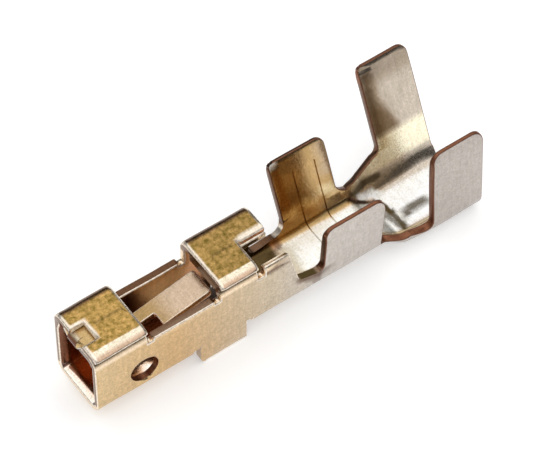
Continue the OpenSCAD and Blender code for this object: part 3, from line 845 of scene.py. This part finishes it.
# Inside: copper-brown box, then tin floors between brown and tan wings, with painted shade as dark lines in
# the hollows. Painted shade also darkens the box's deep parts, and painted highlights brighten the mouth's
# floor and the floor seen through the peephole.
inner_plating_and_painted_light = np.tile(copper, (count, 1))
barrel_share = eased(conductor_end, barrel_start, blank_x)
open_share = eased(5.9, 6.3, blank_x)
floor_run = foot(blank_x, 1)[0][0]
on_floor = 1 - eased(0.9 * floor_run, floor_run + 0.15, np.abs(blank_s))
wing_inside = np.tile(wing_brown, (count, 1))
lay(wing_inside, wing_tan, barrel_share)
floor_inside = np.tile(floor_cream, (count, 1))
lay(floor_inside, floor_tin, barrel_share)
window_walls = zone(1.5, 3.6, blank_x, 0.1) * eased(0.8, 1.1, np.abs(blank_s))
front_left_side = zone(1.2, 2.1, blank_x, 0.2) * zone(0.3, 2.3, blank_s, 0.2)
window_floor = zone(2.0, 2.8, blank_x, 0.1) * zone(-0.7, 0.8, blank_s, 0.1)
mouth_floor = zone(-0.5, mouth_slope, blank_x, 0.01) * (np.abs(blank_s) < wall_start)
mouth_wall = zone(-0.5, mouth_slope + 0.05, blank_x, 0.03) * (np.abs(blank_s) > wall_start - 0.2)
lay(inner_plating_and_painted_light, inner_gold, window_walls)
# Painted shade deep in the box: the left wall under the front roof, and the floor under the window
lay(inner_plating_and_painted_light, shade_red, 0.95 * front_left_side)
lay(inner_plating_and_painted_light, shade_red, 0.95 * window_floor)
# Painted highlights on the floor seen through the peephole and on the mouth's sloping floor
lay(inner_plating_and_painted_light, floor_highlight, near([(1.46, -0.5), (1.66, -0.5)], 0.17))
lay(inner_plating_and_painted_light, floor_highlight, mouth_floor)
# Painted shade on the walls of the mouth
lay(inner_plating_and_painted_light, shade_red, 0.9 * mouth_wall)
# Painted shade in the rear of the box and the neck behind it
lay(inner_plating_and_painted_light, dark_olive, 0.97 * zone(4.7, 6.0, blank_x, 0.12))
lay(inner_plating_and_painted_light, wing_inside, open_share)
lay(inner_plating_and_painted_light, floor_inside, open_share * on_floor)

# The left barrel wing: cream low down, and above a slanting border towards its front a painted reflection of
# the dark right wing in brown
on_barrel = blank_x > 9.0
dark_reflection_border = 9.75 + 0.44 * (3.35 - blank_s)
dark_reflection_share = eased(dark_reflection_border + 0.1, dark_reflection_border - 0.06, blank_x) * zone(2.1, 3.5, blank_s, 0.12)
lay(inner_plating_and_painted_light, wing_cream, zone(1.3, 2.1, blank_s, 0.06) * barrel_share)
lay(inner_plating_and_painted_light, reflected_brown, 0.85 * dark_reflection_share * on_barrel)
# More of the painted dark reflection along the wing's top
lay(inner_plating_and_painted_light, reflected_brown, 0.45 * eased(3.3, 3.7, blank_s) * on_barrel)

# Inner marks of the necks and barrels: painted shade as dark lines along the bends, the throat and the
# floor's step, painted highlights as the bright spots of tin and gold, and some darker and lighter patches.
# Each has its colour, share, reach to each side and route
inner_painted_light_and_patches = [
    (neck_olive, 0.70, 0.32, [(5.95, -0.75), (6.15, 0.3)]),
    (dark_olive, 0.60, 0.12, [(6.2, -0.7), (6.28, -0.55)]),
    (dark_brown, 0.25, 0.50, [(6.5, 2.75), (7.1, 2.7)]),
    (wing_tan, 0.60, 0.30, [(7.95, 2.6), (7.9, 1.9)]),
    (gold_highlight, 0.60, 0.22, [(6.5, 1.3), (6.75, 1.25)]),
    (gold_highlight, 0.60, 0.22, [(7.2, 1.35), (7.4, 1.25)]),
    (gold_highlight, 0.60, 0.22, [(7.75, 1.42), (8.0, 1.3)]),
    (dark_brown, 0.50, 0.22, [(7.75, 0.85), (8.3, 0.9)]),
    (dark_brown, 0.80, 0.15, [(6.1, 0.55), (6.12, 0.9)]),
    (dark_olive, 0.15, 0.15, barrel_fold[3:]),
    (dark_olive, 0.85, 0.16, barrel_fold[:4]),
    (dark_olive, 0.90, 0.20, [(9.3, -0.24), (9.6, -0.17), (9.95, -0.18)]),
    (dark_olive, 0.40, 0.14, [(6.45, 0.72), (8.2, 0.75)]),
    (dark_olive, 0.80, 0.15, below_throat),
    (tin_highlight, 1.00, 0.19, [(8.68, 0.78), (9.0, 0.8), (9.12, 0.62)]),
    (dark_brown, 0.95, 0.11, throat),
    (dark_olive, 0.90, 0.12, floor_step),
    (tin_highlight, 1.00, 0.07, [(9.21, -0.1), (9.23, -0.36)]),
    (tin_highlight, 1.00, 0.10, [(6.48, 2.78), (6.62, 2.82)]),
]
for colour, share, reach, route in inner_painted_light_and_patches:
    lay(inner_plating_and_painted_light, colour, share * near(route, reach))
on_spring = (blank_x < fold_start + 0.02) & (blank_s < arm_right + 0.5) & (blank_s > arm_left - 0.02)
lay(inner_plating_and_painted_light, arm_gold, on_spring)
lay(inner_plating_and_painted_light, blade_pink, on_spring * eased(blade_front + 0.1, blade_front - 0.6, blank_x))

# Cut edges: plated at the box, dark in the window and the mouth with painted shade, bare copper-brown at the
# barrels
close = 0.01
above_sills = np.abs(blank_s) > left_sill + 0.3
at_mouth = zone(-0.5, 0.02, blank_x, 0.01) * (np.abs(blank_s) > wall_start)
at_window = zone(front_end - 0.03, rear_start + 0.03, blank_x, 0.02) * above_sills
behind_roof = eased(5.2, 5.33, blank_x) * (blank_s > 0) * (blank_s < left_sill + 1.5)
tab_front = zone(tab_start, tab_start + 0.1, blank_x, 0.02) * (np.abs(blank_s) < wall_start - 0.01)
on_left_sill = distance([(sill_from, left_sill), (sill_to, left_sill)]) < close
on_right_sill = distance([(sill_from, right_sill), (sill_to, right_sill)]) < close
wing_root_route = [(6.22, front_root_s), (6.36, front_root_s + 0.08)]
rim_plating_and_painted_light = np.tile(edge_gold, (count, 1))
lay(rim_plating_and_painted_light, pale_gold, eased(5.3, 5.45, blank_x))
lay(rim_plating_and_painted_light, dark_brown, 0.8 * eased(5.72, 5.78, blank_x))
lay(rim_plating_and_painted_light, edge_copper, eased(6.2, 6.45, blank_x))
# Painted shade on the cut edges behind the roof, in the window and at the mouth
lay(rim_plating_and_painted_light, dark_brown, 0.95 * behind_roof)
lay(rim_plating_and_painted_light, dark_brown, 0.9 * np.maximum(at_mouth, at_window))
lay(rim_plating_and_painted_light, dark_brown, 0.8 * eased(lap_start, lap_end, blank_s) * on_box)
lay(rim_plating_and_painted_light, dark_olive, zone(slope_end, 6.2, blank_x, 0.04) * (blank_s < 0))
lay(rim_plating_and_painted_light, dark_brown, 0.6 * eased(8.9, 9.1, blank_x) * (np.abs(blank_s) < 1.0))
# Painted highlight: a cream line along the cut edge at the left wing's root
lay(rim_plating_and_painted_light, cut_highlight, 0.8 * near(wing_root_route, 0.12))
lay(rim_plating_and_painted_light, dark_brown, tab_front)
lay(rim_plating_and_painted_light, dark_brown, on_left_sill)
lay(rim_plating_and_painted_light, dark_brown, 0.85 * on_right_sill)
lay(rim_plating_and_painted_light, cut_rough, near(roof_notch, 0.05) * eased(0.02, 0.1, blank_x))
lay(rim_plating_and_painted_light, cut_orange, near(half_cut, 0.05))
lay(rim_plating_and_painted_light, edge_copper, hole_distance < close)
rim_inside = rim_plating_and_painted_light.copy()
lay(rim_inside, dark_brown, 0.9 * on_right_sill)
wall_mottle = 0.16
rim_mottle = 0.2
mottle = wall_mottle + (1 - wall_mottle) * on_roof * (at_roof_cut < 0.05)

# The mesh: triangles joined into larger faces, then the plating and the painted light and shade at every
# corner
flat_within = math.radians(0.8)
bm = bmesh.new()
bm.from_mesh(mesh)
bm.faces.ensure_lookup_table()
for face in bm.faces[len(skin_faces):]:
    face.material_index = 1
bmesh.ops.recalc_face_normals(bm, faces=bm.faces)
bmesh.ops.join_triangles(bm, faces=bm.faces, angle_face_threshold=flat_within, angle_shape_threshold=math.pi)
plating_and_painted_light_layer = bm.loops.layers.float_color.new("plating_and_painted_light")
mottle_layer = bm.loops.layers.float.new("mottle")
for face in bm.faces:
    for loop in face.loops:
        number = loop.vert.index
        at = number % count
        if face.material_index:
            colours = rim_inside if number >= count else rim_plating_and_painted_light
        else:
            colours = inner_plating_and_painted_light if number >= count else outer_plating_and_painted_light
        loop[plating_and_painted_light_layer] = colours[at]
        loop[mottle_layer] = rim_mottle if face.material_index else mottle[at]

# Edges of the cuts are marked for a small rounding. Slits and tight corners have no room for one and stay
# sharp, and so do edges that lie dark, covered or behind others.
sharp_from = math.radians(32)
box_rounding = 1.0
end_rounding = 0.7
torn_tips = ((wing_start, left_conductor_tip), (barrel_start, left_barrel_tip))
edge_layer = bm.edges.layers.float.new("bevel_weight_edge")
for edge in bm.edges:
    if edge.calc_face_angle() > sharp_from:
        sides = {face.material_index for face in edge.link_faces}
        along = np.mean([blank_x[vert.index % count] for vert in edge.verts])
        aside = np.mean([blank_s[vert.index % count] for vert in edge.verts])
        on_inner = edge.verts[0].index >= count
        beside_slit = min(abs(aside - arm_left), abs(aside - arm_right)) < 0.03
        slit = -close < along < fold_start + 0.02 and beside_slit
        left_neck = half_roof_end - 0.05 < along < wing_start and 0 < aside < left_sill
        right_neck = slope_end - 0.02 < along < conductor_start - 0.05 and aside < 0 and not on_inner
        at_hole = math.hypot(along - hole_x, aside - hole_s) < hole_radius + close
        at_tab = tab_start - close < along < tab_start + tab_corner and abs(aside) < wall_start - 0.02
        torn = any(-close < along - start < 0.17 and aside > tip - 0.18 for start, tip in torn_tips)
        front_cut = abs(along - rear_start) < close or abs(along) < close
        under_roof = front_cut and on_inner and aside > left_bend_start
        under_half_roof = along > rear_end + 0.1 and abs(aside - half_roof_edge) < close and on_inner
        under_curl = on_inner and (aside > lap_end - close or abs(aside - lip) < close)
        rear_layer = abs(along - rear_start) < close and aside < -seam_start
        sill = right_sill if on_inner else left_sill
        dark_sill = sill_from < along < sill_to and abs(aside - sill) < close
        tight = slit or left_neck or right_neck or at_hole or at_tab or torn or len(sides) < 2
        hidden = under_roof or under_half_roof or under_curl or rear_layer or dark_sill
        if tight or hidden:
            edge.smooth = False
        else:
            edge[edge_layer] = box_rounding if 0.5 < along < 5.3 else end_rounding
bm.to_mesh(mesh)
bm.free()
mesh.shade_smooth()


def noise(group, place, scale, detail, roughness=0.5):
    """Fine unevenness, with its scale counted per millimetre."""
    values = {"Vector": place, "Scale": scale / MM, "Detail": detail, "Roughness": roughness}
    return added(group, "ShaderNodeTexNoise", values).outputs["Fac"]


def toned(group, value, given, wanted):
    """A value brought from one range to another."""
    ranges = {"From Min": given[0], "From Max": given[1], "To Min": wanted[0], "To Max": wanted[1]}
    return added(group, "ShaderNodeMapRange", {"Value": value, **ranges}).outputs["Result"]


def mixed(group, share, first, second):
    """One colour turned into another by a share."""
    colours = {"Factor": share, "A": first, "B": second}
    return added(group, "ShaderNodeMix", colours, data_type="RGBA").outputs["Result"]


def shaded(group, colour, tone):
    """A colour made lighter or darker by a tone."""
    values = {0: colour, "Scale": tone}
    return added(group, "ShaderNodeVectorMath", values, operation="SCALE").outputs["Vector"]


def uneven(group, height, distance, strength, below=None):
    """The lie of an uneven surface, over another one if that is given."""
    values = {"Height": height, "Distance": distance * MM, "Strength": strength}
    if below:
        values["Normal"] = below
    return added(group, "ShaderNodeBump", values).outputs["Normal"]


def emptied(owner):
    """The tree of a material or of the studio, with nothing in it."""
    owner.use_nodes = True
    owner.node_tree.nodes.clear()
    return owner.node_tree


def metal(group, looks):
    """Closes a material's tree as a metal with the given looks."""
    face = added(group, "ShaderNodeBsdfPrincipled", {"Metallic": 1.0, **looks})
    added(group, "ShaderNodeOutputMaterial", {"Surface": face.outputs["BSDF"]})


# Plated strip: rolled bronze with a thin plating, mottled on the roofs, finely grained elsewhere
strip_tree = emptied(strip)
spot = added(strip_tree, "ShaderNodeTexCoord", {}).outputs["Object"]
tint = added(strip_tree, "ShaderNodeAttribute", {}, attribute_name="plating_and_painted_light").outputs
amount = added(strip_tree, "ShaderNodeAttribute", {}, attribute_name="mottle").outputs["Fac"]
clouds = noise(strip_tree, spot, 8.5, 4.0, 0.7)
cloud_tone = toned(strip_tree, clouds, (0.34, 0.66), (0.0, 1.0))
cloud_hue = mixed(strip_tree, cloud_tone, (0.46, 0.50, 0.30, 1.0), (1.42, 1.40, 1.62, 1.0))
mottling = {0: tint["Color"], 1: cloud_hue}
mottled = added(strip_tree, "ShaderNodeVectorMath", mottling, operation="MULTIPLY").outputs["Vector"]
grain = noise(strip_tree, spot, 22.0, 2.0)
grain_tone = toned(strip_tree, grain, (0.3, 0.7), (0.86, 1.12))
stretching = {"Vector": spot, "Scale": (1.0, 0.12, 0.12)}
stretched = added(strip_tree, "ShaderNodeMapping", stretching).outputs["Vector"]
marks = noise(strip_tree, stretched, 16.0, 3.0)
mark_tone = toned(strip_tree, marks, (0.3, 0.7), (0.93, 1.07))
chosen = mixed(strip_tree, amount, tint["Color"], mottled)
strip_colour = shaded(strip_tree, shaded(strip_tree, chosen, grain_tone), mark_tone)
dulling = {0: tint["Alpha"], 1: grain_tone}
dull = added(strip_tree, "ShaderNodeMath", dulling, operation="MULTIPLY").outputs["Value"]
cloud_lie = uneven(strip_tree, clouds, 0.004, 0.5)
strip_lie = uneven(strip_tree, grain, 0.0015, 0.5, cloud_lie)
metal(strip_tree, {"Base Color": strip_colour, "Roughness": dull, "Normal": strip_lie})

# Sheared edge: where the strip was cut, uneven from the shears and bare copper-brown at the barrels
sheared = bpy.data.materials.new("sheared_edge")
cut_tree = emptied(sheared)
spot = added(cut_tree, "ShaderNodeTexCoord", {}).outputs["Object"]
tint = added(cut_tree, "ShaderNodeAttribute", {}, attribute_name="plating_and_painted_light").outputs
streaks = noise(cut_tree, spot, 18.0, 3.0)
cut_colour = shaded(cut_tree, tint["Color"], toned(cut_tree, streaks, (0.3, 0.7), (0.82, 1.15)))
cut_lie = uneven(cut_tree, streaks, 0.003, 0.6)
metal(cut_tree, {"Base Color": cut_colour, "Roughness": tint["Alpha"], "Normal": cut_lie})

# Rounded edge: the rounded borders of the cuts, painted bright as a highlight on the box and copper-brown at
# the barrels
highlit_rounding = bpy.data.materials.new("rounded_edge_highlight_and_copper")
rounding_highlight_tree = emptied(highlit_rounding)
spot = added(rounding_highlight_tree, "ShaderNodeTexCoord", {}).outputs["Object"]
along_contact = added(rounding_highlight_tree, "ShaderNodeSeparateXYZ", {"Vector": spot}).outputs["X"]
toward_wire = toned(rounding_highlight_tree, along_contact, (6.15 * MM, 6.35 * MM), (0.0, 1.0))
rounding_highlight_base = mixed(rounding_highlight_tree, toward_wire, (1.0, 0.88, 0.74, 1.0), (0.22, 0.10, 0.06, 1.0))
scuffs = noise(rounding_highlight_tree, spot, 12.0, 3.0)
rounding_highlight_colour = shaded(rounding_highlight_tree, rounding_highlight_base, toned(rounding_highlight_tree, scuffs, (0.35, 0.65), (0.7, 1.05)))
rounding_dull = toned(rounding_highlight_tree, scuffs, (0.0, 1.0), (0.30, 0.60))
metal(rounding_highlight_tree, {"Base Color": rounding_highlight_colour, "Roughness": rounding_dull})

# The marked edges are rounded, and the contact is kept as one plain mesh
mesh.materials.append(sheared)
mesh.materials.append(highlit_rounding)
edge_width = 0.035
joined_within = 0.002
rounding = body.modifiers.new("rounded edges", "BEVEL")
rounding.width = edge_width * MM
rounding.segments = 2
rounding.limit_method = "WEIGHT"
rounding.use_clamp_overlap = False
rounding.loop_slide = False
rounding.material = 2
joined = body.modifiers.new("joined points", "WELD")
joined.merge_threshold = joined_within * MM
soften = body.modifiers.new("flat faces", "WEIGHTED_NORMAL")
soften.weight = 50
soften.keep_sharp = True
finished = plain_mesh(body)
body.modifiers.clear()
body.data = finished
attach(body, "root")
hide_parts("crimp_contact")

# Table: a wide white sheet that the contact stands on, a little bright of itself so that it comes out white.
# Below the lanced opening in the box's floor it is painted dark as a shadow and gives no light of its own.
lowest = cad_box[0][2]
table_size = 0.6
table_gap = 0.01
bpy.ops.mesh.primitive_plane_add(size=table_size, location=(0.005, 0.0, lowest - table_gap * MM))
table = bpy.context.object
table.name = "table"
paper = bpy.data.materials.new("white_table")
paper.use_nodes = True
paper_tree = paper.node_tree
shade_x = -0.90 * MM
shade_y = 0.45 * MM
shade_length = 0.90 * MM
shade_width = 0.42 * MM
spot = added(paper_tree, "ShaderNodeTexCoord", {}).outputs["Object"]
shade_place = {"Vector": spot, "Location": (-shade_x / shade_length, -shade_y / shade_width, 0.0),
               "Scale": (1 / shade_length, 1 / shade_width, 0.0)}
from_shade = added(paper_tree, "ShaderNodeMapping", shade_place).outputs["Vector"]
either_side = added(paper_tree, "ShaderNodeVectorMath", {0: from_shade}, operation="ABSOLUTE")
shade_parts = added(paper_tree, "ShaderNodeSeparateXYZ", {"Vector": either_side.outputs["Vector"]}).outputs
shade_sides = {0: shade_parts["X"], 1: shade_parts["Y"]}
outermost = added(paper_tree, "ShaderNodeMath", shade_sides, operation="MAXIMUM").outputs["Value"]
clear_of_shade = toned(paper_tree, outermost, (0.88, 1.04), (0.0, 1.0))
glow = toned(paper_tree, clear_of_shade, (0.0, 1.0), (0.0, 0.36))
paper_colour = mixed(paper_tree, clear_of_shade, (0.08, 0.06, 0.05, 1.0), (0.85, 0.85, 0.85, 1.0))
paper_looks = {"Base Color": paper_colour, "Roughness": 0.9, "Emission Color": (1.0, 1.0, 1.0, 1.0),
               "Emission Strength": glow}
fill(paper_tree, paper_tree.nodes["Principled BSDF"], paper_looks)
table.data.materials.append(paper)

# Studio: a soft dome that is bright overhead and falls off to a dark room at the height of the table.
# There are no lamps, so that every shadow is soft.
world = bpy.data.worlds.new("studio")
bpy.context.scene.world = world
sky_tree = emptied(world)
sky_place = added(sky_tree, "ShaderNodeTexCoord", {}).outputs["Generated"]
sky_height = added(sky_tree, "ShaderNodeSeparateXYZ", {"Vector": sky_place}).outputs["Z"]
fading = {"Value": sky_height, "From Min": 0.28, "From Max": 0.66, "To Min": 0.10, "To Max": 1.5}
fade = added(sky_tree, "ShaderNodeMapRange", fading, interpolation_type="SMOOTHSTEP").outputs["Result"]
sky = added(sky_tree, "ShaderNodeBackground", {"Strength": fade})
added(sky_tree, "ShaderNodeOutputWorld", {"Surface": sky.outputs["Background"]})

# Camera: a long lens looking down on the mouth and the seam side.
# Its turn, tilt, distance and aim were fitted to the straight edges of the box.
turn = math.radians(34.97)
tilt = math.radians(54.55)
camera_distance = 82.353
aim_right = 0.4012
aim_up = 0.9136
back = Vector((-math.sin(turn) * math.cos(tilt), -math.cos(turn) * math.cos(tilt), math.sin(tilt)))
right = Vector((math.cos(turn), -math.sin(turn), 0.0))
up = back.cross(right)
target = Vector((5.0, 0.0, 1.0 - pin_height))
eye = target + back * camera_distance
aim = target + right * aim_right + up * aim_up
lens = bpy.data.cameras.new("camera")
lens.lens = 233.33
lens.sensor_width = 36.0
lens.clip_start = 0.005
lens.clip_end = 5.0
camera = bpy.data.objects.new("camera", lens)
bpy.context.scene.collection.objects.link(camera)
camera.location = eye * MM
camera.rotation_euler = (aim - eye).to_track_quat("-Z", "Y").to_euler()
bpy.context.scene.camera = camera
bpy.context.scene.view_settings.view_transform = "Standard"
